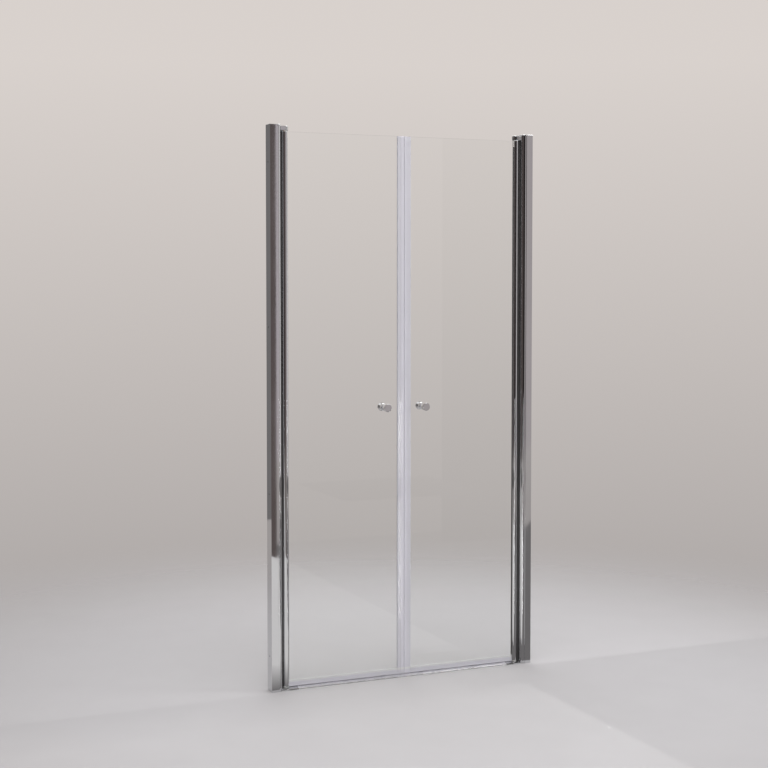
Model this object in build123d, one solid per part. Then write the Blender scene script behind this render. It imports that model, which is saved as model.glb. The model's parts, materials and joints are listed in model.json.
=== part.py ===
from build123d import *
import math
import os

# Two-leaf swing door for a shower alcove. Millimetres, +Z up, +X along the doorway, -Y to the room.
# The origin is on the tray surface, midway between the two walls and in the plane of the glass.
# Everything is drawn for the left side, and the right side is its mirror image.

# Overall size
door_width = 988.0
door_height = 1900.0

# Wall channel, a U-section that is screwed to the wall
channel_depth = 44.0
channel_reach = 24.0
channel_web = 1.8
channel_flange = 1.5
channel_edge_radius = 0.5
wall_hole_radius = 2.5
wall_hole_end_inset = 120.0
wall_hole_inner_spacing = 560.0

# Jamb, the hollow profile that slides in the channel to take up an uneven wall
slide_clearance = 0.15
jamb_back_distance = 8.0
jamb_face_distance = 40.0
jamb_skin = 1.6
jamb_corner_radius = 12.0
jamb_back_radius = 0.8
jamb_web_distance = 16.0
port_distance = 25.0
port_boss_radius = 4.0
port_boss_sink = 1.0

# Groove in the jamb's face, and the black seal that it holds
groove_mouth_width = 4.0
groove_width = 8.0
groove_lip = 1.6
groove_depth = 2.6
groove_wall = 1.5
gasket_clearance = 0.1
gasket_width = 6.0
gasket_post_gap = 0.4
gasket_end_gap = 0.4

# Hinge post that turns on the pivots and holds the glass
hinge_gap = 7.0
post_radius = 11.0
post_flat_cut = 2.5
post_bore_radius = 7.0
post_bore_depth = 20.0

# Pivots
running_gap = 0.3
pin_radius = 4.0
pin_engagement = 18.0
pin_seat_clearance = 0.02
pin_seat_floor = 1.5
bush_bore_clearance = 0.05
bush_press_clearance = 0.05
bush_flange_inset = 0.4
bush_flange_thickness = 3.0
bush_flange_flat_inset = 0.2
bush_end_gap = 0.5
pivot_plate_thickness = 3.0
top_block_height = 15.0
top_block_margin = 1.0
top_block_edge_chamfer = 1.0

# Foot that carries the lower pin, and its tongue in the end of the threshold
foot_height = 9.0
foot_neck_length = 5.0
foot_neck_width = 18.0
foot_reach = 28.0
foot_corner_radius = 5.0
foot_boss_margin = 1.5
tongue_length = 20.0
tongue_clearance = 0.3
tongue_bottom = 1.4

# Threshold bar on its two tapes
threshold_width = 40.0
threshold_shoulder = 4.5
threshold_crown = 9.0
threshold_wall = 1.5
threshold_flange_width = 6.0
threshold_flange_thickness = 1.2
tape_thickness = 0.8

# Cap on top of the wall profile
cap_thickness = 4.0
cap_edge_chamfer = 1.0
cap_leg_length = 18.0
cap_leg_width = 8.0
cap_leg_clearance = 0.15

# Glass leaf
glass_thickness = 6.0
glass_bottom = 16.0
glass_bite = 13.0
glass_edge_gap = 13.0
glass_edge_round = 0.6
notch_clearance = 0.8
notch_extra_height = 1.0
knob_hole_radius = 6.0

# Gasket between the glass and the post
glazing_wall = 1.2
glazing_web = 1.0
glazing_lip_depth = 1.0
glazing_lip_height = 1.2

# Seal on the closing edge, with its magnet strip
meeting_gap = 0.5
edge_clip_length = 12.0
edge_clip_wall = 1.2
edge_box_width = 10.4
edge_box_radius = 1.0
edge_seal_lift = 1.0
magnet_clearance = 0.3
magnet_end_inset = 2.0

# Seal under the glass
bottom_clip_height = 14.0
bottom_clip_wall = 1.2
bottom_bead_radius = 1.1
bottom_web = 1.0
bottom_bulb_wall = 0.9
bottom_bulb_radius = 1.6
bottom_seal_lift = 0.6
bottom_seal_end_gap = 0.5
deflector_reach = 7.0
deflector_drop = 4.4
deflector_thickness = 1.0

# Knobs, one pair through each leaf
knob_height = 945.0
knob_offset = 72.5
knob_length = 28.0
knob_radius = 14.0
knob_taper = 0.6
knob_head_length = 19.0
knob_neck_radius = 7.2
knob_foot_radius = 9.0
knob_foot_thickness = 1.4
knob_edge_radius = 2.0
knob_shoulder_length = 2.0
washer_radius = 10.0
washer_thickness = 1.0
washer_spigot_length = 2.6
washer_spigot_clearance = 0.1
stud_radius = 3.0
stud_clearance = 0.1
stud_engagement = 14.0
stud_end_gap = 0.5

# Clamp screws through the channel into the jamb, and their press-on covers
clamp_screw_radius = 1.75
clamp_screw_length = 9.0
clamp_head_radius = 3.5
clamp_head_height = 2.1
clamp_head_chamfer = 0.8
clamp_hole_clearance = 0.25
clamp_thread_clearance = 0.03
clamp_distance = 14.0
clamp_end_inset = 200.0
clamp_count = 3
cover_wall = 0.8
cover_clearance = 0.2
cover_dome = 0.7

# Screws that hold the two pivots on the ends of the jamb
pivot_screw_radius = 2.0
pivot_screw_length = 18.0
pivot_head_radius = 3.6
pivot_head_height = 1.8
pivot_head_sink = 0.2
pivot_thread_clearance = 0.05

# Places worked out from the sizes above
wall_x = -door_width / 2
jamb_half_depth = channel_depth / 2 - channel_flange - slide_clearance
axis_distance = jamb_face_distance + hinge_gap + post_radius
axis_x = wall_x + axis_distance
post_flat_offset = post_radius - post_flat_cut
post_flat_x = axis_x + post_flat_offset
glass_hinge_x = post_flat_x - glass_bite
glass_free_x = -glass_edge_gap
post_groove_width = glass_thickness + 2 * glazing_wall

cap_bottom = door_height - cap_thickness
jamb_bottom = pivot_plate_thickness
jamb_top = cap_bottom - pivot_plate_thickness
top_block_bottom = cap_bottom - top_block_height
post_bottom = foot_height + running_gap + bush_flange_thickness
post_top = top_block_bottom - running_gap - bush_flange_thickness
gasket_bottom = foot_height + gasket_end_gap
gasket_top = top_block_bottom - gasket_end_gap
glass_top = post_top
notch_height = post_bore_depth + notch_extra_height
glazing_bottom = post_bottom + notch_height
glazing_top = post_top - notch_height

bush_flange_radius = post_radius - bush_flange_inset
top_block_radius = post_radius + top_block_margin
foot_boss_radius = post_radius + foot_boss_margin
port_y = jamb_half_depth - jamb_skin - port_boss_radius + port_boss_sink
foot_back_x = wall_x + jamb_face_distance + foot_neck_length
foot_end_x = axis_x + post_radius + foot_reach
edge_seal_start_x = glass_free_x - edge_clip_length
washer_face_y = glass_thickness / 2 + washer_thickness


def from_wall(distance):
    return wall_x + distance


def slab(x_low, x_high, y_low, y_high):
    """Flat rectangle between two corners, in the XY plane."""
    centre = Pos((x_low + x_high) / 2, (y_low + y_high) / 2)
    return centre * Rectangle(x_high - x_low, y_high - y_low)


def stand(section, z_low, z_high):
    """Profile standing upright between two heights."""
    return Pos(0, 0, z_low) * extrude(section, amount=z_high - z_low)


def lay(section, x_low, x_high):
    """Profile lying along X, drawn with Y to the right and Z up."""
    return Pos(x_low, 0, 0) * extrude(Plane.YZ * section, amount=x_high - x_low)


def box(x_low, x_high, y_low, y_high, z_low, z_high):
    return stand(slab(x_low, x_high, y_low, y_high), z_low, z_high)


def turned_along_y(points):
    """Turned piece from points of radius and Y."""
    return revolve(make_face(Polyline(*points, close=True)), Axis.Y)


def turned_along_z(points):
    """Turned piece from points of radius and Z."""
    return revolve(Plane.XZ * make_face(Polyline(*points, close=True)), Axis.Z)


def upright_rod(x, y, radius, z_low, z_high):
    return Pos(x, y) * stand(Circle(radius), z_low, z_high)


def rod_along_y(x, z, radius, y_low, y_high):
    disc = Plane.XZ.offset(-y_low) * Pos(x, z) * Circle(radius)
    return extrude(disc, amount=-(y_high - y_low))


def rounded(section, chosen, radius):
    """Section with the chosen corners rounded."""
    corners = [v for v in section.vertices() if chosen(v)]
    return fillet(corners, radius)


def mirrored(part):
    return mirror(part, about=Plane.YZ)


# Wall profile

def wall_hole_heights():
    middle = cap_bottom / 2
    outer = middle - wall_hole_end_inset
    inner = wall_hole_inner_spacing / 2
    return [middle - outer, middle - inner, middle + inner, middle + outer]


def clamp_heights():
    span = cap_bottom - 2 * clamp_end_inset
    step = span / (clamp_count - 1)
    return [clamp_end_inset + i * step for i in range(clamp_count)]


def wall_channel():
    half = channel_depth / 2
    section = slab(wall_x, from_wall(channel_reach), -half, half)
    section -= slab(
        from_wall(channel_web), from_wall(channel_reach),
        -half + channel_flange, half - channel_flange)
    section = rounded(
        section,
        lambda v: v.X > from_wall(channel_web) + 1 and abs(v.Y) > half - channel_flange / 2,
        channel_edge_radius)
    channel = stand(section, 0, cap_bottom)
    for z in wall_hole_heights():
        hole = Cylinder(wall_hole_radius, 4 * channel_web, rotation=(0, 90, 0))
        channel -= Pos(wall_x, 0, z) * hole
    for z in clamp_heights():
        channel -= rod_along_y(
            from_wall(clamp_distance), z, clamp_screw_radius + clamp_hole_clearance,
            half - 2 * channel_flange, half + channel_flange)
    return channel


def jamb_outline():
    section = slab(
        from_wall(jamb_back_distance), from_wall(jamb_face_distance),
        -jamb_half_depth, jamb_half_depth)
    middle_x = from_wall((jamb_back_distance + jamb_face_distance) / 2)
    section = rounded(section, lambda v: v.X > middle_x, jamb_corner_radius)
    return rounded(
        section, lambda v: v.X < from_wall(jamb_back_distance) + 0.1, jamb_back_radius)


def jamb_cavity():
    inner_half = jamb_half_depth - jamb_skin
    section = slab(
        from_wall(jamb_back_distance + jamb_skin), from_wall(jamb_face_distance - jamb_skin),
        -inner_half, inner_half)
    middle_x = from_wall((jamb_back_distance + jamb_face_distance) / 2)
    return rounded(section, lambda v: v.X > middle_x, jamb_corner_radius - jamb_skin)


def groove_section():
    """T-shaped groove in the jamb's face."""
    face_x = from_wall(jamb_face_distance)
    lip_x = face_x - groove_lip
    mouth = slab(lip_x, face_x + 1, -groove_mouth_width / 2, groove_mouth_width / 2)
    pocket = slab(lip_x - groove_depth, lip_x, -groove_width / 2, groove_width / 2)
    return mouth + pocket


def jamb():
    face_x = from_wall(jamb_face_distance)
    cavity = jamb_cavity()
    cavity -= slab(
        from_wall(jamb_web_distance), from_wall(jamb_web_distance + jamb_skin),
        -jamb_half_depth, jamb_half_depth)
    cavity -= slab(
        face_x - groove_lip - groove_depth - groove_wall, face_x,
        -groove_width / 2 - groove_wall, groove_width / 2 + groove_wall)
    for side in (-1, 1):
        cavity -= Pos(from_wall(port_distance), side * port_y) * Circle(port_boss_radius)
    section = jamb_outline() - cavity - groove_section()
    for side in (-1, 1):
        port = Circle(pivot_screw_radius + pivot_thread_clearance)
        section -= Pos(from_wall(port_distance), side * port_y) * port
    profile = stand(section, jamb_bottom, jamb_top)
    for z in clamp_heights():
        profile -= rod_along_y(
            from_wall(clamp_distance), z, clamp_screw_radius + clamp_thread_clearance,
            jamb_half_depth - 2 * jamb_skin, jamb_half_depth + 1)
    return profile


def jamb_gasket():
    """Rubber cradle that closes the gap to the post, with its foot in the groove."""
    face_x = from_wall(jamb_face_distance)
    lip_x = face_x - groove_lip
    foot = slab(
        lip_x - groove_depth + gasket_clearance, lip_x - gasket_clearance,
        -groove_width / 2 + gasket_clearance, groove_width / 2 - gasket_clearance)
    neck_half = groove_mouth_width / 2 - gasket_clearance
    neck = slab(lip_x - 2 * gasket_clearance, face_x, -neck_half, neck_half)
    cradle = slab(face_x, axis_x, -gasket_width / 2, gasket_width / 2)
    cradle -= Pos(axis_x, 0) * Circle(post_radius + gasket_post_gap)
    return stand(foot + neck + cradle, gasket_bottom, gasket_top)


def top_cap():
    half = channel_depth / 2
    outline = slab(wall_x, from_wall(jamb_face_distance), -half, half)
    outline = rounded(outline, lambda v: v.X > wall_x + 1, jamb_corner_radius)
    cap = stand(outline, cap_bottom, door_height)
    top_edges = cap.edges().group_by(Axis.Z)[-1].filter_by(lambda e: e.center().X > wall_x + 0.1)
    cap = chamfer(top_edges, cap_edge_chamfer)
    leg_x = (channel_web + cap_leg_clearance, jamb_back_distance - cap_leg_clearance)
    leg_outer = half - channel_flange - cap_leg_clearance
    for side in (-1, 1):
        leg_y = sorted((side * leg_outer, side * (leg_outer - cap_leg_width)))
        cap += box(
            from_wall(leg_x[0]), from_wall(leg_x[1]), leg_y[0], leg_y[1],
            cap_bottom - cap_leg_length, cap_bottom)
    return cap


# Pivots

def pivot_screw_hole(side, z_face, direction):
    """Countersunk hole through a pivot plate, with its mouth at z_face."""
    radius = pivot_screw_radius + pivot_thread_clearance
    head_radius = pivot_head_radius + pivot_thread_clearance
    seat = pivot_head_sink + pivot_head_height
    points = [
        (0, 1), (head_radius, 1), (head_radius, -pivot_head_sink), (radius, -seat),
        (radius, -2 * pivot_plate_thickness), (0, -2 * pivot_plate_thickness)]
    hole = turned_along_z([(r, direction * z) for r, z in points])
    return Pos(from_wall(port_distance), side * port_y, z_face) * hole


def pivot_screws():
    screws = []
    for z_face, direction in ((cap_bottom, 1), (0, -1)):
        points = [
            (0, -pivot_head_sink), (pivot_head_radius, -pivot_head_sink),
            (pivot_screw_radius, -pivot_head_sink - pivot_head_height),
            (pivot_screw_radius, -pivot_screw_length), (0, -pivot_screw_length)]
        for side in (-1, 1):
            screw = turned_along_z([(r, direction * z) for r, z in points])
            screws.append(Pos(from_wall(port_distance), side * port_y, z_face) * screw)
    return screws


def top_pivot():
    """Block over the post, with a plate that is screwed on top of the jamb."""
    plate = stand(jamb_outline(), jamb_top, cap_bottom)
    for side in (-1, 1):
        plate -= pivot_screw_hole(side, cap_bottom, 1)
    face_x = from_wall(jamb_face_distance)
    outline = slab(face_x, axis_x, -top_block_radius, top_block_radius)
    outline += Pos(axis_x, 0) * Circle(top_block_radius)
    block = stand(outline, top_block_bottom, cap_bottom)
    rims = [block.edges().group_by(Axis.Z)[i] for i in (0, -1)]
    ends = [e for rim in rims for e in rim if e.center().X > axis_x]
    block = chamfer(ends, top_block_edge_chamfer)
    bridge_half = jamb_half_depth - jamb_corner_radius
    bridge = box(
        face_x - jamb_skin, face_x + jamb_skin, -bridge_half, bridge_half, jamb_top, cap_bottom)
    block = plate + bridge + block
    return block - upright_rod(
        axis_x, 0, pin_radius + pin_seat_clearance,
        top_block_bottom - 1, cap_bottom - pin_seat_floor)


def top_pin():
    pin = upright_rod(
        axis_x, 0, pin_radius, post_top - pin_engagement, cap_bottom - pin_seat_floor)
    return chamfer(pin.edges().group_by(Axis.Z)[0], pin_radius / 4)


def bottom_pin():
    pin = upright_rod(axis_x, 0, pin_radius, pin_seat_floor, post_bottom + pin_engagement)
    return chamfer(pin.edges().group_by(Axis.Z)[-1], pin_radius / 4)


def bush():
    """Flanged nylon bush, drawn with its flange down and the top of the flange at z = 0."""
    bore = pin_radius + bush_bore_clearance
    body = post_bore_radius - bush_press_clearance
    length = post_bore_depth - bush_end_gap
    sleeve = turned_along_z([
        (bore, -bush_flange_thickness), (bush_flange_radius, -bush_flange_thickness),
        (bush_flange_radius, 0), (body, 0), (body, length), (bore, length)])
    flat_x = post_flat_offset - bush_flange_flat_inset
    return sleeve - box(
        flat_x, 2 * post_radius, -post_radius, post_radius, -2 * bush_flange_thickness, length)


def bottom_bush():
    return Pos(axis_x, 0, post_bottom) * bush()


def top_bush():
    return Pos(axis_x, 0, post_top) * mirror(bush(), about=Plane.XY)


def arch_radius():
    half = threshold_width / 2
    rise = threshold_crown - threshold_shoulder
    return (half ** 2 + rise ** 2) / (2 * rise)


def arch_section(inset, z_low):
    """Arched section of the threshold, moved inwards by an inset and cut off at z_low."""
    half = threshold_width / 2 - inset
    radius = arch_radius() - inset
    centre_z = threshold_crown - arch_radius()
    shoulder = centre_z + math.sqrt(radius ** 2 - half ** 2)
    outline = Polyline((half, shoulder), (half, z_low), (-half, z_low), (-half, shoulder))
    crown = ThreePointArc((-half, shoulder), (0, centre_z + radius), (half, shoulder))
    return make_face(outline + crown)


def bottom_pivot():
    """Foot under the post: plate below the jamb, neck, boss for the pin, and tongue."""
    plate = stand(jamb_outline(), 0, pivot_plate_thickness)
    for side in (-1, 1):
        plate -= pivot_screw_hole(side, 0, -1)
    neck_back = from_wall(jamb_face_distance - jamb_skin)
    neck_top = foot_height - pivot_plate_thickness
    neck_half = foot_neck_width / 2
    neck = box(neck_back, foot_back_x + 1, -neck_half, neck_half, 0, pivot_plate_thickness)
    neck += box(
        from_wall(jamb_face_distance), foot_back_x + 1, -neck_half, neck_half, 0, neck_top)
    ramp = lay(arch_section(0, 0), foot_back_x, foot_end_x)
    corners = ramp.edges().filter_by(Axis.Z).filter_by(lambda e: e.center().X < foot_back_x + 1)
    ramp = fillet(corners, foot_corner_radius)
    boss = upright_rod(axis_x, 0, foot_boss_radius, 0, foot_height)
    tongue_inset = threshold_wall + tongue_clearance
    tongue = lay(arch_section(tongue_inset, tongue_bottom), foot_end_x, foot_end_x + tongue_length)
    tongue_half = threshold_width / 2 - threshold_wall - threshold_flange_width - tongue_clearance
    tongue &= box(
        foot_end_x, foot_end_x + tongue_length, -tongue_half, tongue_half, 0, threshold_crown)
    foot = plate + neck + ramp + boss + tongue
    return foot - upright_rod(
        axis_x, 0, pin_radius + pin_seat_clearance, pin_seat_floor, foot_height + 1)


# Threshold

def threshold_bar():
    half = threshold_width / 2
    section = arch_section(0, tape_thickness)
    section -= arch_section(threshold_wall, tape_thickness)
    flange_top = tape_thickness + threshold_flange_thickness
    reach = threshold_wall + threshold_flange_width
    for side in (-1, 1):
        flange_y = sorted((side * (half - threshold_wall / 2), side * (half - reach)))
        section += slab(flange_y[0], flange_y[1], tape_thickness, flange_top)
    return lay(section, foot_end_x, -foot_end_x)


def threshold_tape():
    half = threshold_width / 2
    width = threshold_wall + threshold_flange_width
    strip = box(foot_end_x, -foot_end_x, half - width, half, 0, tape_thickness)
    return [strip, mirror(strip, about=Plane.XZ)]


# Leaf

def post():
    section = Circle(post_radius)
    section -= slab(post_flat_offset, 2 * post_radius, -post_radius, post_radius)
    groove_half = post_groove_width / 2
    groove_floor = post_flat_offset - glass_bite - glazing_web
    section -= slab(groove_floor, post_radius, -groove_half, groove_half)
    profile = Pos(axis_x, 0) * stand(section, post_bottom, post_top)
    profile -= upright_rod(
        axis_x, 0, post_bore_radius, post_bottom - 1, post_bottom + post_bore_depth)
    return profile - upright_rod(
        axis_x, 0, post_bore_radius, post_top - post_bore_depth, post_top + 1)


def glass():
    half = glass_thickness / 2
    pane = box(glass_hinge_x, glass_free_x, -half, half, glass_bottom, glass_top)
    pane = fillet(
        pane.edges().filter_by(Axis.Z).filter_by(lambda e: e.center().X > axis_x + post_radius),
        glass_edge_round)
    notch_x = axis_x + post_bore_radius + notch_clearance
    for z_low, z_high in (
            (glass_bottom - 1, post_bottom + notch_height),
            (post_top - notch_height, glass_top + 1)):
        pane -= box(glass_hinge_x - 1, notch_x, -2 * half, 2 * half, z_low, z_high)
    return pane - rod_along_y(-knob_offset, knob_height, knob_hole_radius, -2 * half, 2 * half)


def glazing_gasket():
    """Rubber channel round the edge of the glass, with a lip on each side of the post's groove."""
    outer = post_groove_width / 2
    inner = glass_thickness / 2
    section = slab(glass_hinge_x - glazing_web, post_flat_x, -outer, outer)
    lip_half = outer + glazing_lip_height
    section += slab(post_flat_x, post_flat_x + glazing_lip_depth, -lip_half, lip_half)
    section -= slab(glass_hinge_x, post_flat_x + 2 * glazing_lip_depth, -inner, inner)
    return stand(section, glazing_bottom, glazing_top)


def edge_seal_bottom():
    return threshold_crown + edge_seal_lift


def magnet_space(gap):
    """Room for the magnet strip in the edge seal, less a gap all round."""
    half = edge_box_width / 2 - edge_clip_wall - gap
    return slab(
        glass_free_x + edge_clip_wall + gap, -meeting_gap - edge_clip_wall - gap, -half, half)


def edge_seal():
    inner = glass_thickness / 2
    outer = inner + edge_clip_wall
    half_box = edge_box_width / 2
    head = slab(glass_free_x, -meeting_gap, -half_box, half_box)
    head = fillet(head.vertices(), edge_box_radius)
    section = slab(edge_seal_start_x, glass_free_x + edge_clip_wall, -outer, outer) + head
    section -= slab(edge_seal_start_x - 1, glass_free_x, -inner, inner)
    section -= magnet_space(0)
    return stand(section, edge_seal_bottom(), glass_top)


def magnet_strip():
    return stand(
        magnet_space(magnet_clearance),
        edge_seal_bottom() + magnet_end_inset, glass_top - magnet_end_inset)


def bottom_seal():
    """Clip over the lower edge of the glass, hollow bulb below it and a rail that sheds water inside."""
    inner = glass_thickness / 2
    outer = inner + bottom_clip_wall
    clip_top = glass_bottom + bottom_clip_height
    web_bottom = glass_bottom - bottom_web
    bulb_bottom = threshold_crown + bottom_seal_lift
    bulb = slab(-outer, outer, bulb_bottom, glass_bottom)
    bulb = rounded(bulb, lambda v: v.Y < glass_bottom - 1, bottom_bulb_radius)
    hollow = slab(-outer + bottom_bulb_wall, outer - bottom_bulb_wall,
                  bulb_bottom + bottom_bulb_wall, web_bottom)
    hollow = rounded(hollow, lambda v: v.Y < web_bottom - 1, bottom_bulb_radius - bottom_bulb_wall)
    section = bulb - hollow
    for side in (-1, 1):
        leg_y = sorted((side * inner, side * outer))
        section += slab(leg_y[0], leg_y[1], web_bottom, clip_top)
        section += Pos(side * (inner + bottom_bead_radius), clip_top) * Circle(bottom_bead_radius)
    rail = Polyline(
        (outer - bottom_bulb_wall, web_bottom), (outer, web_bottom + deflector_thickness),
        (outer + deflector_reach, web_bottom + deflector_thickness - deflector_drop),
        (outer + deflector_reach, web_bottom - deflector_drop), close=True)
    section += make_face(rail)
    return lay(section, post_flat_x + bottom_seal_end_gap, edge_seal_start_x - bottom_seal_end_gap)


# Knobs

def inner_knob():
    """Turned knob on the inside of the glass, with a blind hole for its stud."""
    tip = washer_face_y + knob_length
    head_start = tip - knob_head_length
    neck_end = head_start - knob_shoulder_length
    foot_end = washer_face_y + knob_foot_thickness
    profile = make_face(Polyline(
        (0, tip), (0, washer_face_y), (knob_foot_radius, washer_face_y),
        (knob_foot_radius, foot_end), (knob_neck_radius, foot_end + knob_foot_thickness),
        (knob_neck_radius, neck_end), (knob_radius - knob_taper, head_start),
        (knob_radius, tip), close=True))
    profile = rounded(
        profile, lambda v: v.X > knob_neck_radius and abs(v.Y - tip) < 0.01, knob_edge_radius)
    knob = Pos(-knob_offset, 0, knob_height) * revolve(profile, Axis.Y)
    return knob - rod_along_y(
        -knob_offset, knob_height, stud_radius + stud_clearance / 4,
        washer_face_y - 1, washer_face_y + stud_engagement + stud_end_gap)


def outer_knob():
    return mirror(inner_knob(), about=Plane.XZ)


def knob_stud():
    reach = washer_face_y + stud_engagement
    return rod_along_y(-knob_offset, knob_height, stud_radius, -reach, reach)


def knob_washers():
    """Two clear washers whose spigots centre the stud in the hole in the glass."""
    bore = stud_radius + stud_clearance
    face = glass_thickness / 2
    spigot = knob_hole_radius - washer_spigot_clearance
    washer = turned_along_y([
        (bore, washer_face_y), (washer_radius, washer_face_y), (washer_radius, face),
        (spigot, face), (spigot, face - washer_spigot_length), (bore, face - washer_spigot_length)])
    washer = Pos(-knob_offset, 0, knob_height) * washer
    return [washer, mirror(washer, about=Plane.XZ)]


# Clamp screws and covers

def clamp_screws():
    face = channel_depth / 2
    head_top = face + clamp_head_height
    screws = []
    for z in clamp_heights():
        screw = turned_along_y([
            (0, head_top), (clamp_head_radius - clamp_head_chamfer, head_top),
            (clamp_head_radius, head_top - clamp_head_chamfer), (clamp_head_radius, face),
            (clamp_screw_radius, face), (clamp_screw_radius, face - clamp_screw_length),
            (0, face - clamp_screw_length)])
        screws.append(Pos(from_wall(clamp_distance), 0, z) * screw)
    return screws


def screw_covers():
    face = channel_depth / 2
    bore = clamp_head_radius + cover_clearance
    outer = bore + cover_wall
    ceiling = face + clamp_head_height + cover_clearance
    covers = []
    for z in clamp_heights():
        cover = turned_along_y([
            (0, ceiling), (bore, ceiling), (bore, face), (outer, face),
            (outer, ceiling), (outer - cover_dome, ceiling + cover_wall), (0, ceiling + cover_wall)])
        covers.append(Pos(from_wall(clamp_distance), 0, z) * cover)
    return covers


# Assembly

def frame_pieces():
    return {
        "wall_channel": wall_channel(),
        "jamb": jamb(),
        "jamb_gasket": jamb_gasket(),
        "top_cap": top_cap(),
        "top_pivot": top_pivot(),
        "top_pin": top_pin(),
        "bottom_pivot": bottom_pivot(),
        "bottom_pin": bottom_pin(),
        "pivot_screws": pivot_screws(),
        "clamp_screws": clamp_screws(),
        "screw_covers": screw_covers(),
    }


def leaf_pieces():
    return {
        "post": post(),
        "top_bush": top_bush(),
        "bottom_bush": bottom_bush(),
        "glass": glass(),
        "glazing_gasket": glazing_gasket(),
        "edge_seal": edge_seal(),
        "magnet_strip": magnet_strip(),
        "bottom_seal": bottom_seal(),
        "outer_knob": outer_knob(),
        "inner_knob": inner_knob(),
        "knob_stud": knob_stud(),
        "knob_washers": knob_washers(),
    }


def write(name, piece):
    solids = piece if isinstance(piece, list) else [piece]
    shape = solids[0] if len(solids) == 1 else Compound(children=solids)
    export_step(shape, f"parts/{name}.step")


os.makedirs("parts", exist_ok=True)
for name, piece in {**frame_pieces(), **leaf_pieces()}.items():
    write(f"left_{name}", piece)
    solids = piece if isinstance(piece, list) else [piece]
    write(f"right_{name}", [mirrored(solid) for solid in solids])
write("threshold_bar", threshold_bar())
write("threshold_tape", threshold_tape())
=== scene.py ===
import json
import math
import bpy
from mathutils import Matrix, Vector


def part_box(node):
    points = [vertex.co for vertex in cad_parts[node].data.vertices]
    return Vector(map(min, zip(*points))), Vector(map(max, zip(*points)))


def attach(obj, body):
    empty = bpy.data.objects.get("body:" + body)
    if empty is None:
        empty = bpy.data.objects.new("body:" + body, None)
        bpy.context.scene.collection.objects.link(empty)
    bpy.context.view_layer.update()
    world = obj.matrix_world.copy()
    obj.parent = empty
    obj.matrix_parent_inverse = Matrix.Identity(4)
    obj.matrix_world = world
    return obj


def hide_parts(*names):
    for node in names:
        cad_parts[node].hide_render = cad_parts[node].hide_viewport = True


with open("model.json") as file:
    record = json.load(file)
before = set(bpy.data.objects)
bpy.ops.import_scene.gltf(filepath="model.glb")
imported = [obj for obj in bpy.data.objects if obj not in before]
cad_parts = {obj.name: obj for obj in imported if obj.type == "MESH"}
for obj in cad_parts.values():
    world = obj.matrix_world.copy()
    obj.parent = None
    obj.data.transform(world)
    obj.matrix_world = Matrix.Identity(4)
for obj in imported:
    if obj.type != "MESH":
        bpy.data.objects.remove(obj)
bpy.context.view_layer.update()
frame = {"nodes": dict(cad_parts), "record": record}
scene = bpy.context.scene
scene.view_settings.view_transform = "Standard"
print("frame loaded:", len(frame["nodes"]), "nodes")


# Small helpers

def deselectAll():
    if bpy.context.object and bpy.context.object.mode != "OBJECT":
        bpy.ops.object.mode_set(mode="OBJECT")
    bpy.ops.object.select_all(action="DESELECT")


def shaderNode(mat, kind, inputs=None, **settings):
    node = mat.node_tree.nodes.new(kind)
    for key, value in settings.items():
        setattr(node, key, value)
    for key, value in (inputs or {}).items():
        node.inputs[key].default_value = value
    return node


def wire(mat, outSocket, inSocket):
    mat.node_tree.links.new(outSocket, inSocket)


def newMaterial(name, colour, roughness, metallic=0.0, sockets=None):
    mat = bpy.data.materials.new(name)
    mat.use_nodes = True
    surface = mat.node_tree.nodes["Principled BSDF"]
    surface.inputs["Base Color"].default_value = (*colour, 1)
    surface.inputs["Roughness"].default_value = roughness
    surface.inputs["Metallic"].default_value = metallic
    for key, value in (sockets or {}).items():
        surface.inputs[key].default_value = value
    return mat, surface


# How the noise of every finish is made, and the part of its range that is read
noiseLook = {"roughness": 0.55, "low": 0.3, "high": 0.7}


# Noise in the object's own metres; stretch is how many features fit in a metre each way
def grain(mat, stretch, detail):
    coord = shaderNode(mat, "ShaderNodeTexCoord")
    mapping = shaderNode(mat, "ShaderNodeMapping", {"Scale": stretch})
    noise = shaderNode(
        mat, "ShaderNodeTexNoise",
        {"Scale": 1.0, "Detail": detail, "Roughness": noiseLook["roughness"]})
    wire(mat, coord.outputs["Object"], mapping.inputs["Vector"])
    wire(mat, mapping.outputs["Vector"], noise.inputs["Vector"])
    return noise.outputs["Fac"]


# Takes a noise value to the range from low to high
def spread(mat, value, low, high):
    node = shaderNode(mat, "ShaderNodeMapRange", {
        "From Min": noiseLook["low"], "From Max": noiseLook["high"], "To Min": low, "To Max": high})
    wire(mat, value, node.inputs["Value"])
    return node.outputs["Result"]


# Takes a noise value to a colour between two tones
def tint(mat, value, dark, light):
    ramp = shaderNode(mat, "ShaderNodeValToRGB")
    ramp.color_ramp.elements[0].position = noiseLook["low"]
    ramp.color_ramp.elements[0].color = (*dark, 1)
    ramp.color_ramp.elements[1].position = noiseLook["high"]
    ramp.color_ramp.elements[1].color = (*light, 1)
    wire(mat, value, ramp.inputs["Fac"])
    return ramp.outputs["Color"]


# Bump of a real depth in metres
def relief(mat, surface, value, depth):
    bump = shaderNode(mat, "ShaderNodeBump", {"Distance": depth, "Strength": 1.0})
    wire(mat, value, bump.inputs["Height"])
    wire(mat, bump.outputs["Normal"], surface.inputs["Normal"])


def scaled(colour, factor):
    return tuple(c * factor for c in colour)


# Finishes

drawnLook = {
    "hazeStretch": (9, 9, 5), "darkest": 0.95, "lineShare": 0.25, "hazeLeast": 0.8, "hazeMost": 1.3}


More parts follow.
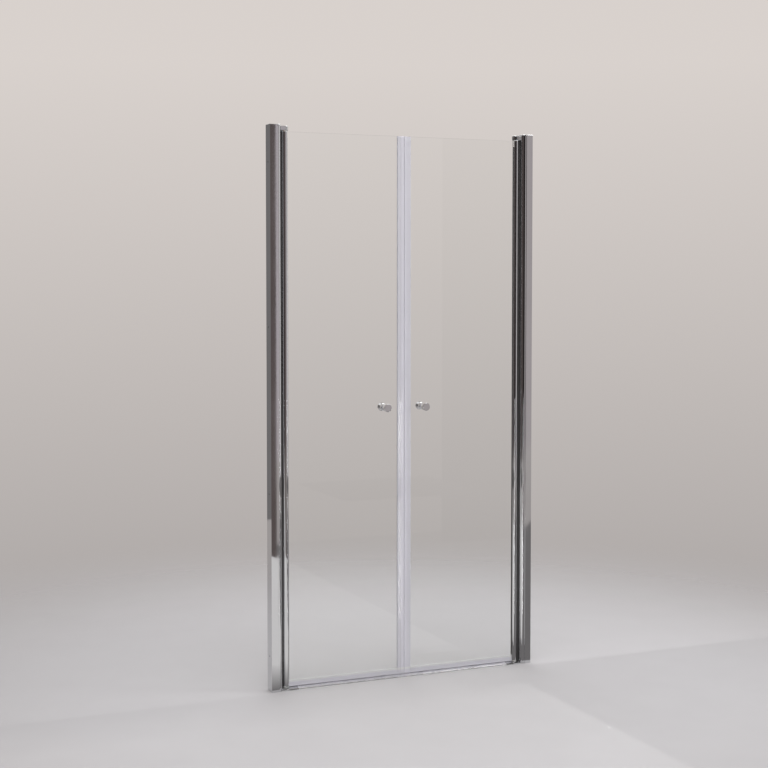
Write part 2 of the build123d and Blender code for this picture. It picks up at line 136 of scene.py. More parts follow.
# Bright drawn or extruded metal, with fine lines along its length and a little water haze
def drawnMetal(name, colour, roughness, stretch, depth):
    mat, surface = newMaterial(name, colour, roughness, metallic=1.0)
    lines = grain(mat, stretch, detail=3.0)
    haze = grain(mat, drawnLook["hazeStretch"], detail=5.0)
    darker = scaled(colour, drawnLook["darkest"])
    wire(mat, tint(mat, haze, darker, colour), surface.inputs["Base Color"])
    swing = drawnLook["lineShare"] * roughness
    least, most = drawnLook["hazeLeast"] * roughness, drawnLook["hazeMost"] * roughness
    both = shaderNode(mat, "ShaderNodeMath", operation="ADD")
    wire(mat, spread(mat, lines, -swing, swing), both.inputs[0])
    wire(mat, spread(mat, haze, least, most), both.inputs[1])
    wire(mat, both.outputs["Value"], surface.inputs["Roughness"])
    relief(mat, surface, lines, depth)
    return mat


platedLook = {
    "waveStretch": (160, 160, 160), "wipeStretch": (60, 220, 45), "darkest": 0.96,
    "wipeLeast": 0.7, "wipeMost": 1.5}


# Polished plated metal, with a very shallow waviness and faint wipe marks
def platedMetal(name, colour, roughness, orangePeel):
    mat, surface = newMaterial(name, colour, roughness, metallic=1.0)
    wave = grain(mat, platedLook["waveStretch"], detail=2.0)
    wipe = grain(mat, platedLook["wipeStretch"], detail=6.0)
    darker = scaled(colour, platedLook["darkest"])
    least, most = platedLook["wipeLeast"] * roughness, platedLook["wipeMost"] * roughness
    wire(mat, tint(mat, wave, darker, colour), surface.inputs["Base Color"])
    wire(mat, spread(mat, wipe, least, most), surface.inputs["Roughness"])
    relief(mat, surface, wave, orangePeel)
    return mat


# Toughened clear glass, whose green shows only along the edges, where the light goes a long way
def clearGlass():
    look = {
        "tint": (1.0, 1.0, 1.0), "ior": 1.46, "bodyColour": (0.55, 0.84, 0.72),
        "bodyDensity": 3.0, "shadow": (0.93, 0.94, 0.93), "roll": 0.000004,
        "rollStretch": (3, 3, 1.2), "filmStretch": (14, 14, 3), "filmRoughness": 0.012}
    mat, surface = newMaterial(
        "clearGlass", look["tint"], 0.0,
        sockets={"IOR": look["ior"], "Transmission Weight": 1.0})
    film = grain(mat, look["filmStretch"], detail=4.0)
    wire(mat, spread(mat, film, 0.0, look["filmRoughness"]), surface.inputs["Roughness"])
    relief(mat, surface, grain(mat, look["rollStretch"], detail=1.0), look["roll"])
    through = shaderNode(mat, "ShaderNodeBsdfTransparent", {"Color": (*look["shadow"], 1)})
    path = shaderNode(mat, "ShaderNodeLightPath")
    mix = shaderNode(mat, "ShaderNodeMixShader")
    output = mat.node_tree.nodes["Material Output"]
    wire(mat, path.outputs["Is Shadow Ray"], mix.inputs["Fac"])
    wire(mat, surface.outputs["BSDF"], mix.inputs[1])
    wire(mat, through.outputs["BSDF"], mix.inputs[2])
    wire(mat, mix.outputs["Shader"], output.inputs["Surface"])
    body = shaderNode(
        mat, "ShaderNodeVolumeAbsorption",
        {"Color": (*look["bodyColour"], 1), "Density": look["bodyDensity"]})
    wire(mat, body.outputs["Volume"], output.inputs["Volume"])
    return mat


vinylLook = {
    "ior": 1.45, "subsurface": 0.15, "subsurfaceScale": 0.004, "subsurfaceRadius": (1.0, 0.95, 1.05),
    "cloudStretch": (14, 14, 5), "lineStretch": (700, 700, 4), "lineDepth": 0.000001,
    "roughLeast": 0.9, "roughMost": 1.1}


# Translucent extruded vinyl, a little cloudy and with lines along its length; a whiter band is painted
# along the top of the clip that grips the lower edge of the glass, a painted highlight for the light
# along that edge
def softVinyl(name, light, dark, transmission, roughness):
    # Painted highlight: a whiter tone over the top of the seal, blended softly below it
    topHighlight = {"tone": (0.985, 0.985, 0.99), "height": 0.0055, "blend": 0.0015}
    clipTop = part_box("left_bottom_seal")[1].z
    mat, surface = newMaterial(
        name, light, roughness,
        sockets={
            "IOR": vinylLook["ior"], "Transmission Weight": transmission,
            "Subsurface Weight": vinylLook["subsurface"],
            "Subsurface Scale": vinylLook["subsurfaceScale"]})
    surface.inputs["Subsurface Radius"].default_value = vinylLook["subsurfaceRadius"]
    cloud = grain(mat, vinylLook["cloudStretch"], detail=3.0)
    lines = grain(mat, vinylLook["lineStretch"], detail=2.0)
    coord = shaderNode(mat, "ShaderNodeTexCoord")
    split = shaderNode(mat, "ShaderNodeSeparateXYZ")
    wire(mat, coord.outputs["Object"], split.inputs["Vector"])
    fromTop = shaderNode(
        mat, "ShaderNodeMath", {1: clipTop - topHighlight["height"] / 2}, operation="SUBTRACT")
    wire(mat, split.outputs["Z"], fromTop.inputs[0])
    distance = shaderNode(mat, "ShaderNodeMath", operation="ABSOLUTE")
    wire(mat, fromTop.outputs["Value"], distance.inputs[0])
    # Mask of the painted highlight band, by the height under the seal's top
    inTopHighlight = shaderNode(mat, "ShaderNodeMapRange", {
        "From Min": topHighlight["height"] / 2 + topHighlight["blend"], "From Max": topHighlight["height"] / 2})
    wire(mat, distance.outputs["Value"], inTopHighlight.inputs["Value"])
    mix = shaderNode(mat, "ShaderNodeMix", data_type="RGBA")
    mix.inputs["B"].default_value = (*topHighlight["tone"], 1)
    wire(mat, inTopHighlight.outputs["Result"], mix.inputs["Factor"])
    wire(mat, tint(mat, cloud, dark, light), mix.inputs["A"])
    wire(mat, mix.outputs["Result"], surface.inputs["Base Color"])
    least, most = roughness * vinylLook["roughLeast"], roughness * vinylLook["roughMost"]
    wire(mat, spread(mat, lines, least, most), surface.inputs["Roughness"])
    relief(mat, surface, lines, vinylLook["lineDepth"])
    return mat


# Skin of a rubber or plastic piece: one noise for its colour, its roughness and its relief
def mouldedSkin(mat, surface, light, dark, roughness, look):
    skin = grain(mat, look["stretch"], look["detail"])
    least, most = roughness * look["roughLeast"], roughness * look["roughMost"]
    wire(mat, tint(mat, skin, dark, light), surface.inputs["Base Color"])
    wire(mat, spread(mat, skin, least, most), surface.inputs["Roughness"])
    relief(mat, surface, skin, look["depth"])


def rubber(name, light, dark, roughness):
    look = {
        "stretch": (450, 450, 120), "detail": 6.0, "roughLeast": 0.85, "roughMost": 1.15,
        "depth": 0.000006}
    mat, surface = newMaterial(name, light, roughness)
    mouldedSkin(mat, surface, light, dark, roughness, look)
    return mat


def mouldedPlastic(name, light, dark, roughness):
    look = {
        "stretch": (700, 700, 700), "detail": 3.0, "roughLeast": 0.9, "roughMost": 1.1,
        "depth": 0.00002, "subsurface": 0.08, "subsurfaceScale": 0.002}
    mat, surface = newMaterial(
        name, light, roughness,
        sockets={
            "Subsurface Weight": look["subsurface"], "Subsurface Scale": look["subsurfaceScale"]})
    mouldedSkin(mat, surface, light, dark, roughness, look)
    return mat


linesUp = (1100, 1100, 2.5)  # drawing lines that run up a profile
linesAcross = (2.5, 1100, 1100)  # and along the threshold

finishes = {
    "bright_profile": drawnMetal("brightProfile", (0.68, 0.685, 0.70), 0.045, linesUp, 0.0000004),
    "bright_cap": platedMetal("brightCap", (0.70, 0.705, 0.72), 0.06, 0.000001),
    "cast_pivot": platedMetal("castPivot", (0.64, 0.65, 0.66), 0.10, 0.000002),
    "threshold_alu": drawnMetal("thresholdAlu", (0.92, 0.92, 0.94), 0.27, linesAcross, 0.0000006),
    "knob_chrome": platedMetal("knobChrome", (0.66, 0.665, 0.675), 0.035, 0.0000006),
    "steel": platedMetal("steel", (0.62, 0.61, 0.60), 0.22, 0.000006),
    "clear_glass": clearGlass(),
    "clear_seal": softVinyl("clearSeal", (0.91, 0.90, 0.975), (0.88, 0.87, 0.945), 0.42, 0.08),
    "magnet": rubber("magnet", (0.66, 0.65, 0.70), (0.60, 0.59, 0.64), 0.55),
    "black_rubber": rubber("blackRubber", (0.052, 0.050, 0.050), (0.036, 0.035, 0.035), 0.32),
    "grey_rubber": rubber("greyRubber", (0.15, 0.145, 0.145), (0.11, 0.107, 0.107), 0.5),
    "nylon": mouldedPlastic("nylon", (0.50, 0.50, 0.48), (0.43, 0.43, 0.41), 0.35),
    "tape": mouldedPlastic("tape", (0.80, 0.80, 0.78), (0.66, 0.66, 0.64), 0.6),
}


def dressNode(node, mat):
    node.data.materials.clear()
    node.data.materials.append(mat)


slotOfNode = {part["node"]: part["material_slot"] for part in frame["record"]["subparts"]}
bodyOfNode = {
    node: body for body, members in frame["record"]["behaviour"]["bodies"].items() for node in members}
for nodeName, node in frame["nodes"].items():
    dressNode(node, finishes[slotOfNode[nodeName]])
print("CAD nodes dressed")


# Modelling helpers

# Vertices closer than these are merged, on a new mesh and on a copy of a CAD node
mergeGap = 0.000002
copyMergeGap = 0.000005
flatAngle = 1  # degrees between triangles that were one flat face
pastEnds = 0.01  # how far a cutting shape goes past what it cuts


def activate(piece):
    deselectAll()
    piece.select_set(True)
    bpy.context.view_layer.objects.active = piece


def addBlock(name, low, high):
    deselectAll()
    low, high = Vector(low), Vector(high)
    bpy.ops.mesh.primitive_cube_add(size=1, location=(low + high) / 2, scale=high - low)
    bpy.ops.object.transform_apply(location=True, rotation=True, scale=True)
    block = bpy.context.object
    block.name = name
    return block


def addRod(name, start, end, radius, vertices):
    deselectAll()
    start, end = Vector(start), Vector(end)
    turn = (end - start).to_track_quat("Z", "Y").to_euler()
    bpy.ops.mesh.primitive_cylinder_add(
        vertices=vertices, radius=radius, depth=(end - start).length,
        location=(start + end) / 2, rotation=turn)
    bpy.ops.object.transform_apply(location=True, rotation=True, scale=True)
    rod = bpy.context.object
    rod.name = name
    return rod


def applyModifier(piece, name, kind, settings):
    activate(piece)
    modifier = piece.modifiers.new(name, kind)
    for key, value in settings.items():
        setattr(modifier, key, value)
    bpy.ops.object.modifier_apply(modifier=name)


# Cuts the others out of the piece, one by one, and removes them
def cutOut(piece, *others):
    for other in others:
        applyModifier(piece, "cutOut", "BOOLEAN", {
            "operation": "DIFFERENCE", "object": other, "solver": "EXACT"})
        bpy.data.objects.remove(other)


# Selects the edges that a test on their middle and direction chooses, and rounds them over
def roundEdges(piece, wanted, radius, segments):
    activate(piece)
    mesh = piece.data
    for group in (mesh.vertices, mesh.edges, mesh.polygons):
        group.foreach_set("select", [False] * len(group))
    for edge in mesh.edges:
        start, end = (mesh.vertices[i].co for i in edge.vertices)
        if wanted((start + end) / 2, (end - start).normalized()):
            edge.select = True
            for i in edge.vertices:
                mesh.vertices[i].select = True
    bpy.context.tool_settings.mesh_select_mode = (False, True, False)
    bpy.ops.object.mode_set(mode="EDIT")
    bpy.ops.mesh.bevel(offset=radius, segments=segments, profile=0.5, affect="EDGES")
    bpy.ops.object.mode_set(mode="OBJECT")


def soften(piece, width, segments=2, angle=35):
    applyModifier(piece, "soften", "BEVEL", {
        "width": width, "segments": segments, "limit_method": "ANGLE",
        "angle_limit": math.radians(angle)})


def smooth(piece, angle=30):
    activate(piece)
    bpy.ops.object.mode_set(mode="EDIT")
    bpy.ops.mesh.select_all(action="SELECT")
    bpy.ops.mesh.customdata_custom_splitnormals_clear()
    bpy.ops.mesh.remove_doubles(threshold=mergeGap)
    bpy.ops.mesh.normals_make_consistent(inside=False)
    bpy.ops.object.mode_set(mode="OBJECT")
    bpy.ops.object.shade_smooth_by_angle(angle=math.radians(angle))
    applyModifier(piece, "evenShade", "WEIGHTED_NORMAL", {"keep_sharp": True})


# Turned solid: a disc is extruded outwards ring by ring, each ring given as radius and distance
def turnedPiece(name, centre, outward, rings, vertices):
    deselectAll()
    centre, outward = Vector(centre), Vector(outward)
    radius, distance = rings[0]
    bpy.ops.mesh.primitive_circle_add(
        vertices=vertices, radius=radius, fill_type="NGON", location=centre + outward * distance,
        rotation=outward.to_track_quat("Z", "Y").to_euler())
    bpy.ops.object.transform_apply(location=True, rotation=True, scale=True)
    piece = bpy.context.object
    piece.name = name
    bpy.context.tool_settings.mesh_select_mode = (False, False, True)
    bpy.ops.object.mode_set(mode="EDIT")
    bpy.ops.mesh.select_all(action="SELECT")
    for nextRadius, nextDistance in rings[1:]:
        bpy.ops.mesh.extrude_region_move(
            TRANSFORM_OT_translate={"value": outward * (nextDistance - distance)})
        share = nextRadius / radius
        bpy.ops.transform.resize(
            value=(share, share, share), center_override=centre + outward * nextDistance)
        radius, distance = nextRadius, nextDistance
    bpy.ops.object.mode_set(mode="OBJECT")
    return piece


# Merged copy of a CAD node, with its flat faces whole again and its sharp edges softened
def softCopy(nodeName, width=0.0002, segments=2):
    source = frame["nodes"][nodeName]
    piece = bpy.data.objects.new(nodeName + "_dressed", source.data.copy())
    scene.collection.objects.link(piece)
    activate(piece)
    bpy.ops.object.mode_set(mode="EDIT")
    bpy.ops.mesh.select_all(action="SELECT")
    bpy.ops.mesh.customdata_custom_splitnormals_clear()
    bpy.ops.mesh.remove_doubles(threshold=copyMergeGap)
    bpy.ops.mesh.dissolve_limited(angle_limit=math.radians(flatAngle))
    bpy.ops.object.mode_set(mode="OBJECT")
    soften(piece, width, segments, angle=40)
    smooth(piece)
    return piece


def mirrorCopy(piece, name):
    twin = piece.copy()
    twin.data = piece.data.copy()
    twin.name = name
    scene.collection.objects.link(twin)
    activate(twin)
    twin.scale.x = -1
    bpy.ops.object.transform_apply(location=True, rotation=True, scale=True)
    smooth(twin)
    return twin


# Gives a finished piece its finish, its body and the node that it stands for
def fit(piece, nodeName):
    slotName = slotOfNode[nodeName]
    dressNode(piece, finishes[slotName])
    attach(piece, bodyOfNode[nodeName])
    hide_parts(nodeName)


# Fits the left piece, and its mirror image on the right
def fitPair(piece, nodeEnd):
    twin = mirrorCopy(piece, piece.name.replace("left", "right"))
    fit(piece, "left_" + nodeEnd)
    fit(twin, "right_" + nodeEnd)


# Knobs

knobLook = {
    "edgeRadius": 0.0018, "edgeSteps": 7, "footRadius": 0.009,
    "footThickness": 0.0014, "neckRadius": 0.0072, "headLength": 0.019, "taper": 0.0006,
    "neckGap": 0.002, "shoulder": 0.006, "shoulderSteps": 8, "vertices": 96, "soften": 0.0003}


def knob(nodeName, outward):
    low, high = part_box(nodeName)
    centre = (low + high) / 2
    radius = (high.x - low.x) / 2
    base = min(abs(low.y), abs(high.y))
    tip = max(abs(low.y), abs(high.y))
    centre.y = 0
    neck = knobLook["neckRadius"]
    neckEnd = tip - knobLook["headLength"] - knobLook["neckGap"]
    footEnd = base + knobLook["footThickness"]
    edge = knobLook["edgeRadius"]
    rings = [
        (knobLook["footRadius"], base), (knobLook["footRadius"], footEnd),
        (neck, footEnd + knobLook["footThickness"]), (neck, neckEnd)]
    # Round back of the head, then its round front edge
    for step in range(1, knobLook["shoulderSteps"] + 1):
        angle = math.pi / 2 * step / knobLook["shoulderSteps"]
        rings.append((
            neck + (radius - knobLook["taper"] - neck) * math.sin(angle),
            neckEnd + knobLook["shoulder"] * (1 - math.cos(angle))))
    for step in range(knobLook["edgeSteps"] + 1):
        angle = math.pi / 2 * step / knobLook["edgeSteps"]
        rings.append((
            radius - edge + edge * math.cos(angle), tip - edge + edge * math.sin(angle)))
    piece = turnedPiece(nodeName + "_turned", centre, (0, outward, 0), rings, knobLook["vertices"])
    soften(piece, knobLook["soften"], segments=3, angle=25)
    smooth(piece, angle=40)
    return piece


washerLook = {
    "spigotRadius": 0.0059, "spigotDepth": 0.0026, "boreRadius": 0.0031, "vertices": 72,
    "boreVertices": 48, "soften": 0.0002}


# Clear washers on the two faces of the glass, each with a spigot in the glass's hole
def washerPair():
    name = "left_knob_washers"
    low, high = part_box(name)
    centre = (low + high) / 2
    radius = (high.x - low.x) / 2
    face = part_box("left_glass")[1].y
    spigot = washerLook["spigotRadius"]
    rings = [(spigot, face - washerLook["spigotDepth"]), (spigot, face), (radius, face), (radius, high.y)]
    reach = Vector((0, pastEnds, 0))
    washers = []
    for outward in (-1, 1):
        washer = turnedPiece(
            name + "_turned", centre, (0, outward, 0), rings, washerLook["vertices"])
        cutOut(washer, addRod(
            "hole", centre - reach, centre + reach, washerLook["boreRadius"], washerLook["boreVertices"]))
        soften(washer, washerLook["soften"])
        smooth(washer, angle=40)
        washers.append(washer)
    activate(washers[0])
    washers[1].select_set(True)
    bpy.ops.object.join()
    return washers[0]


fitPair(knob("left_outer_knob", -1), "outer_knob")
fitPair(knob("left_inner_knob", 1), "inner_knob")
fitPair(washerPair(), "knob_washers")
print("knobs modelled")


# Hinge post

postLook = {
    "vertices": 144, "boreRadius": 0.007, "boreDepth": 0.020, "boreVertices": 48,
    "gasketRoom": 0.0012, "soften": 0.00035}


def hingePost():
    name = "left_post"
    low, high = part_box(name)
    radius = (high.y - low.y) / 2
    axisX = low.x + radius
    piece = addRod(
        name + "_profile", (axisX, 0, low.z), (axisX, 0, high.z), radius, postLook["vertices"])
    bpy.context.tool_settings.mesh_select_mode = (False, False, True)
    bpy.ops.object.mode_set(mode="EDIT")
    bpy.ops.mesh.select_all(action="SELECT")
    bpy.ops.mesh.bisect(plane_co=(high.x, 0, 0), plane_no=(1, 0, 0), use_fill=True, clear_outer=True)
    bpy.ops.object.mode_set(mode="OBJECT")
    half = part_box("left_glass")[1].y + postLook["gasketRoom"]
    groove = addBlock(
        "groove", (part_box("left_glazing_gasket")[0].x, -half, low.z - pastEnds),
        (high.x + pastEnds, half, high.z + pastEnds))
    depth = postLook["boreDepth"]
    bores = [
        addRod("bore", (axisX, 0, z - depth), (axisX, 0, z + depth),
               postLook["boreRadius"], postLook["boreVertices"])
        for z in (low.z, high.z)]
    cutOut(piece, groove, *bores)
    soften(piece, postLook["soften"], segments=3)
    smooth(piece)
    return piece


fitPair(hingePost(), "post")
print("posts modelled")


# Wall profile: channel, jamb that slides in it, cap on top

jambLook = {
    "cornerRadius": 0.012, "cornerSteps": 20, "skin": 0.0016, "soften": 0.0003,
    "backRoomDepth": 0.008, "portX": 0.017, "portInset": 0.003, "portRadius": 0.004,
    "portVertices": 32, "threadRadius": 0.00205, "threadVertices": 24, "noseMargin": 0.001}

# T-groove for the gasket, in a block behind the nose of the jamb; depths are from the nose
grooveLook = {
    "blockDepth": 0.0057, "blockHalf": 0.0055, "mouthDepth": 0.003, "mouthHalf": 0.002,
    "pocketDepth": 0.0042, "pocketStart": 0.0016, "pocketHalf": 0.004}


def upright(direction):
    return abs(direction.z) > 0.99


def roundedJambBlock(name, low, high, radius):
    block = addBlock(name, low, high)
    noseStart = high[0] - jambLook["noseMargin"]
    roundEdges(
        block, lambda middle, direction: upright(direction) and middle.x > noseStart,
        radius, jambLook["cornerSteps"])
    return block


# Two rods along the jamb, one at each screw port, long enough to cut through its ends
def portRods(name, low, high, radius, vertices):
    x = low.x + jambLook["portX"]
    offset = high.y - jambLook["skin"] - jambLook["portInset"]
    bottom, top = low.z - 2 * pastEnds, high.z + 2 * pastEnds
    return [
        addRod(name, (x, side * offset, bottom), (x, side * offset, top), radius, vertices)
        for side in (-1, 1)]


def jambProfile():
    name = "left_jamb"
    low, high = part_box(name)
    skin = jambLook["skin"]
    bottom, top = low.z - pastEnds, high.z + pastEnds
    piece = roundedJambBlock(name + "_profile", low, high, jambLook["cornerRadius"])
    backEnd = low.x + jambLook["backRoomDepth"]
    backRoom = addBlock(
        "backRoom", (low.x + skin, low.y + skin, bottom), (backEnd, high.y - skin, top))
    frontRoom = roundedJambBlock(
        "frontRoom", (backEnd + skin, low.y + skin, bottom),
        (high.x - skin, high.y - skin, top), jambLook["cornerRadius"] - skin)
    half = grooveLook["blockHalf"]
    grooveBlock = addBlock(
        "grooveBlock", (high.x - grooveLook["blockDepth"], -half, low.z - 2 * pastEnds),
        (high.x, half, high.z + 2 * pastEnds))
    ports = portRods("port", low, high, jambLook["portRadius"], jambLook["portVertices"])
    cutOut(frontRoom, grooveBlock, *ports)
    half = grooveLook["mouthHalf"]
    mouth = addBlock(
        "mouth", (high.x - grooveLook["mouthDepth"], -half, bottom),
        (high.x + jambLook["noseMargin"], half, top))
    half = grooveLook["pocketHalf"]
    pocket = addBlock(
        "pocket", (high.x - grooveLook["pocketDepth"], -half, bottom),
        (high.x - grooveLook["pocketStart"], half, top))
    cutOut(piece, backRoom, frontRoom, mouth, pocket)
    cutOut(piece, *portRods("thread", low, high, jambLook["threadRadius"], jambLook["threadVertices"]))
    soften(piece, jambLook["soften"])
    smooth(piece)
    return piece


fitPair(jambProfile(), "jamb")
for nodeEnd in ("wall_channel", "top_cap", "top_pivot", "bottom_pivot", "edge_seal", "bottom_seal",
                "jamb_gasket", "glazing_gasket", "clamp_screws", "screw_covers"):
    fitPair(softCopy("left_" + nodeEnd), nodeEnd)
fit(softCopy("threshold_bar", 0.0004, 3), "threshold_bar")
fitPair(softCopy("left_glass", 0.0006, 2), "glass")
print("profiles modelled")


# Studio: floor, soft lamps and the cards that the polished metal mirrors

studio = {
    "backTop": (0.690, 0.640, 0.610), "backLow": (0.430, 0.402, 0.392),
    "horizonLow": -0.20, "horizonHigh": 0.14, "worldTone": (0.62, 0.61, 0.62),
    "worldStrength": 0.85, "floor": (0.560, 0.550, 0.560), "floorSize": 12.0,
    "floorRoughness": 0.65, "floorDarkest": 0.975, "floorStretch": (6, 6, 6),
    "fadeStart": 0.9, "fadeEnd": 3.0}


# Pale tone that goes from the low to the high colour with the height of the direction
def backColour(world, direction):
    split = shaderNode(world, "ShaderNodeSeparateXYZ")
    rise = shaderNode(
        world, "ShaderNodeMapRange",
        {"From Min": studio["horizonLow"], "From Max": studio["horizonHigh"]})
    mix = shaderNode(world, "ShaderNodeMix", data_type="RGBA")
    mix.inputs["A"].default_value = (*studio["backLow"], 1)
    mix.inputs["B"].default_value = (*studio["backTop"], 1)
    wire(world, direction, split.inputs["Vector"])
    wire(world, split.outputs["Z"], rise.inputs["Value"])
    wire(world, rise.outputs["Result"], mix.inputs["Factor"])
    return mix.outputs["Result"]


# The camera, mirrors and the glass see the backdrop, and the rest is lit by an even tone
def makeWorld():
    world = bpy.data.worlds.new("studioAir")
    world.use_nodes = True
    scene.world = world
    coord = shaderNode(world, "ShaderNodeTexCoord")
    seen = world.node_tree.nodes["Background"]
    seen.inputs["Strength"].default_value = 1.0
    wire(world, backColour(world, coord.outputs["Generated"]), seen.inputs["Color"])
    light = shaderNode(
        world, "ShaderNodeBackground",
        {"Color": (*studio["worldTone"], 1), "Strength": studio["worldStrength"]})
    path = shaderNode(world, "ShaderNodeLightPath")
    cameraOrMirror = shaderNode(world, "ShaderNodeMath", operation="MAXIMUM")
    anySight = shaderNode(world, "ShaderNodeMath", operation="MAXIMUM")
    wire(world, path.outputs["Is Camera Ray"], cameraOrMirror.inputs[0])
    wire(world, path.outputs["Is Glossy Ray"], cameraOrMirror.inputs[1])
    wire(world, cameraOrMirror.outputs["Value"], anySight.inputs[0])
    wire(world, path.outputs["Is Transmission Ray"], anySight.inputs[1])
    mix = shaderNode(world, "ShaderNodeMixShader")
    wire(world, anySight.outputs["Value"], mix.inputs["Fac"])
    wire(world, light.outputs["Background"], mix.inputs[1])
    wire(world, seen.outputs["Background"], mix.inputs[2])
    wire(world, mix.outputs["Shader"], world.node_tree.nodes["World Output"].inputs["Surface"])


def makeFloor():
    deselectAll()
    bpy.ops.mesh.primitive_plane_add(size=studio["floorSize"])
    floor = bpy.context.object
    floor.name = "floor"
    mat, surface = newMaterial("floorCoat", studio["floor"], studio["floorRoughness"])
    cloud = grain(mat, studio["floorStretch"], detail=5.0)
    darker = scaled(studio["floor"], studio["floorDarkest"])
    wire(mat, tint(mat, cloud, darker, studio["floor"]), surface.inputs["Base Color"])
    coord = shaderNode(mat, "ShaderNodeTexCoord")
    reach = shaderNode(mat, "ShaderNodeVectorMath", operation="LENGTH")
    fade = shaderNode(
        mat, "ShaderNodeMapRange",
        {"From Min": studio["fadeStart"], "From Max": studio["fadeEnd"]},
        interpolation_type="SMOOTHSTEP")
    clear = shaderNode(mat, "ShaderNodeBsdfTransparent")
    mix = shaderNode(mat, "ShaderNodeMixShader")
    wire(mat, coord.outputs["Object"], reach.inputs[0])
    wire(mat, reach.outputs["Value"], fade.inputs["Value"])
    wire(mat, fade.outputs["Result"], mix.inputs["Fac"])
    wire(mat, surface.outputs["BSDF"], mix.inputs[1])
    wire(mat, clear.outputs["BSDF"], mix.inputs[2])
    wire(mat, mix.outputs["Shader"], mat.node_tree.nodes["Material Output"].inputs["Surface"])
    floor.data.materials.append(mat)


# Upright card that only mirrors see, with a tone that runs from its left end to its right
def reflectionCard(name, centre, width, height, turn, leftTone, rightTone):
    deselectAll()
    bpy.ops.mesh.primitive_plane_add(size=1.0)
    card = bpy.context.object
    card.name = name
    card.scale = (width, height, 1)
    card.rotation_euler = (math.pi / 2, 0, math.radians(turn))
    card.location = centre
    mat = bpy.data.materials.new(name)
    mat.use_nodes = True
    mat.node_tree.nodes.remove(mat.node_tree.nodes["Principled BSDF"])
    coord = shaderNode(mat, "ShaderNodeTexCoord")
    split = shaderNode(mat, "ShaderNodeSeparateXYZ")
    run = shaderNode(mat, "ShaderNodeMapRange", {"From Min": -0.5, "From Max": 0.5})
    mix = shaderNode(mat, "ShaderNodeMix", data_type="RGBA")
    mix.inputs["A"].default_value = (*leftTone, 1)
    mix.inputs["B"].default_value = (*rightTone, 1)
    glow = shaderNode(mat, "ShaderNodeEmission")
    wire(mat, coord.outputs["Object"], split.inputs["Vector"])
    wire(mat, split.outputs["X"], run.inputs["Value"])
    wire(mat, run.outputs["Result"], mix.inputs["Factor"])
    wire(mat, mix.outputs["Result"], glow.inputs["Color"])
    wire(mat, glow.outputs["Emission"], mat.node_tree.nodes["Material Output"].inputs["Surface"])
    card.data.materials.append(mat)
    for ray in ("camera", "diffuse", "transmission", "volume_scatter", "shadow"):
        setattr(card, "visible_" + ray, False)
    return card


# The same, lying flat, with a tone that runs from its front edge to its back edge
def flatCard(name, centre, width, depth, frontTone, backTone):
    card = reflectionCard(name, centre, depth, width, 0, frontTone, backTone)
    card.rotation_euler = (0, 0, math.pi / 2)


def softLamp(name, place, aim, width, height, power, colour):
    data = bpy.data.lights.new(name, "AREA")
    data.shape = "RECTANGLE"
    data.size = width
    data.size_y = height
    data.energy = power
    data.color = colour
    lamp = bpy.data.objects.new(name, data)
    scene.collection.objects.link(lamp)
    lamp.location = place
    lamp.rotation_euler = (Vector(aim) - Vector(place)).to_track_quat("-Z", "Y").to_euler()
    for ray in ("camera", "glossy", "transmission"):
        setattr(lamp, "visible_" + ray, False)


# Tones of the cards
black = (0.030, 0.026, 0.025)
brown = (0.128, 0.104, 0.100)
mauve = (0.590, 0.535, 0.565)
grey = (0.470, 0.430, 0.430)
white = (0.950, 0.930, 0.920)
dim = (0.200, 0.190, 0.190)
pale = (0.80, 0.78, 0.77)
backGlow = (1.1, 1.1, 1.1)
panelFront = (6.0, 6.0, 6.0)
panelBack = (2.4, 2.4, 2.4)
stripGlow = (14, 14, 14)
knobShade = (0.10, 0.095, 0.09)
groundShade = (0.22, 0.21, 0.21)
barShade = (0.30, 0.30, 0.31)
nearShare = 0.94  # tone of the near ground as a share of the pale one
groundZ = 0.002  # just over the floor


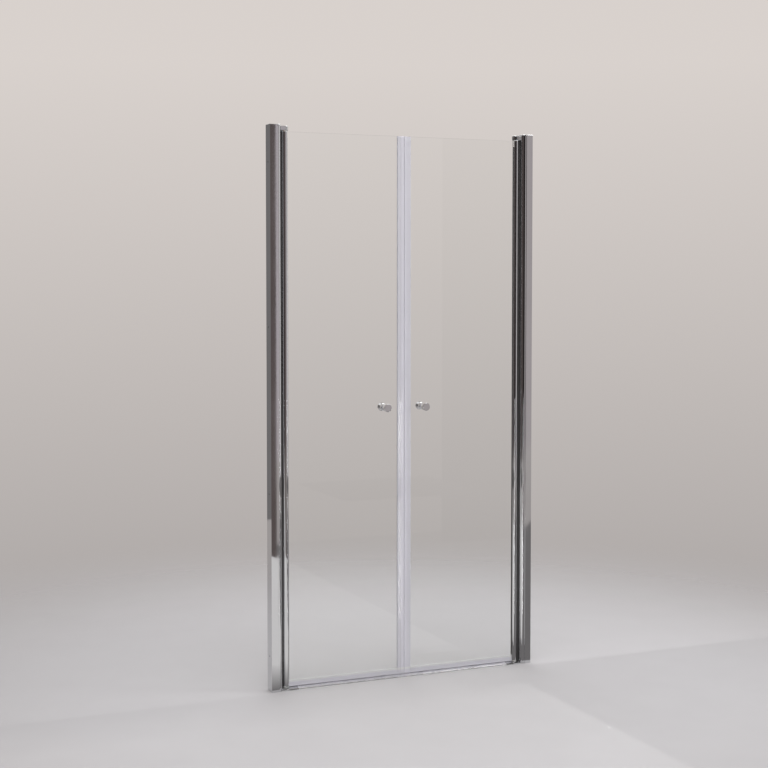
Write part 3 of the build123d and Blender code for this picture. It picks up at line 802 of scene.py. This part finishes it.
def makeStudio():
    makeWorld()
    makeFloor()
    # Flags close in front, which split the flat of the left profile and darken the right jamb
    reflectionCard("flagLeft", (-0.543, -0.8, 1.6), 0.686, 2.6, 0, brown, brown)
    reflectionCard("flagRight", (0.697, -0.8, 1.6), 0.33, 2.6, 0, black, black)
    # Far cards in front and at the sides: dark on the left, light on the right
    reflectionCard("farLeft", (-4.0, -6.0, 2.0), 10.0, 4.0, 0, black, black)
    reflectionCard("farMiddle", (1.9, -6.0, 2.0), 1.8, 4.0, 0, mauve, grey)
    reflectionCard("farRight", (4.8, -6.0, 2.0), 4.0, 4.0, 0, grey, grey)
    reflectionCard("sideLeft", (-5.0, -1.0, 2.0), 10.0, 4.0, 90, black, brown)
    reflectionCard("sideRight", (4.5, -2.6, 1.8), 5.0, 3.6, -90, white, grey)
    reflectionCard("highBack", (0.6, 3.2, 3.9), 6.0, 3.0, 0, backGlow, backGlow)
    reflectionCard("lowBack", (0.0, 3.4, 1.2), 9.0, 2.4, 0, dim, dim)
    # Bright panels overhead, for the backs of the knobs and the edges of the low pieces
    flatCard("ceilingLeft", (0.575, 0.45, 3.2), 0.65, 3.5, panelFront, panelBack)
    flatCard("ceilingRight", (1.775, 0.45, 3.2), 1.15, 3.5, panelFront, panelBack)
    # Dark panel below the knobs, for the undersides of their heads
    flatCard("underKnobs", (0.07, -0.30, 0.62), 0.54, 0.50, dim, knobShade)
    # Narrow strip light, which the flat of the left edge seal mirrors in its lower half
    reflectionCard("strip", (0.338, -0.8, 0.45), 0.010, 0.9, 0, stripGlow, stripGlow)
    # Light and dark ground in front, which the feet of the two profiles mirror
    flatCard("groundLeft", (-2.3, -1.67, groundZ), 5.3, 2.66, pale, pale)
    flatCard("groundRight", (1.775, -1.35, groundZ), 2.85, 2.6, dim, dim)
    flatCard("nearLeft", (-0.85, -0.19, groundZ), 2.0, 0.30, scaled(pale, nearShare), groundShade)
    flatCard("nearRight", (0.40, -0.15, groundZ), 0.5, 0.20, dim, dim)
    flatCard("barFront", (0.0, -0.0355, groundZ), 0.86, 0.029, barShade, black)
    softLamp("overhead", (-0.3, -1.2, 4.4), (0, 0, 0.8), 3.0, 2.4, 66, (1, 0.985, 0.97))
    softLamp("front", (-1.2, -4.2, 1.6), (0, 0, 0.95), 2.4, 2.0, 56, (1, 0.99, 0.985))
    softLamp("windowRight", (2.5, -1.6, 1.5), (0, 0, 0.95), 0.7, 2.2, 18, (0.97, 0.985, 1))
    softLamp("backFill", (0.8, 2.6, 2.2), (0, 0, 0.9), 2.0, 1.2, 22, (1, 0.99, 0.98))


def makeCamera():
    view = {
        "place": (-2.131, -4.711, 1.389), "forward": (0.4001, 0.9165),
        "pitchDown": 2.712, "lens": 70.0, "shiftY": -0.045, "sensorWidth": 36, "clipEnd": 200}
    data = bpy.data.cameras.new("photoCamera")
    data.sensor_width = view["sensorWidth"]
    data.lens = view["lens"]
    data.shift_y = view["shiftY"]
    data.clip_end = view["clipEnd"]
    camera = bpy.data.objects.new("photoCamera", data)
    scene.collection.objects.link(camera)
    camera.location = view["place"]
    drop = math.tan(math.radians(view["pitchDown"])) * math.hypot(*view["forward"])
    camera.rotation_euler = Vector((*view["forward"], -drop)).to_track_quat("-Z", "Y").to_euler()
    scene.camera = camera


makeCamera()
makeStudio()
print("camera and studio ready")
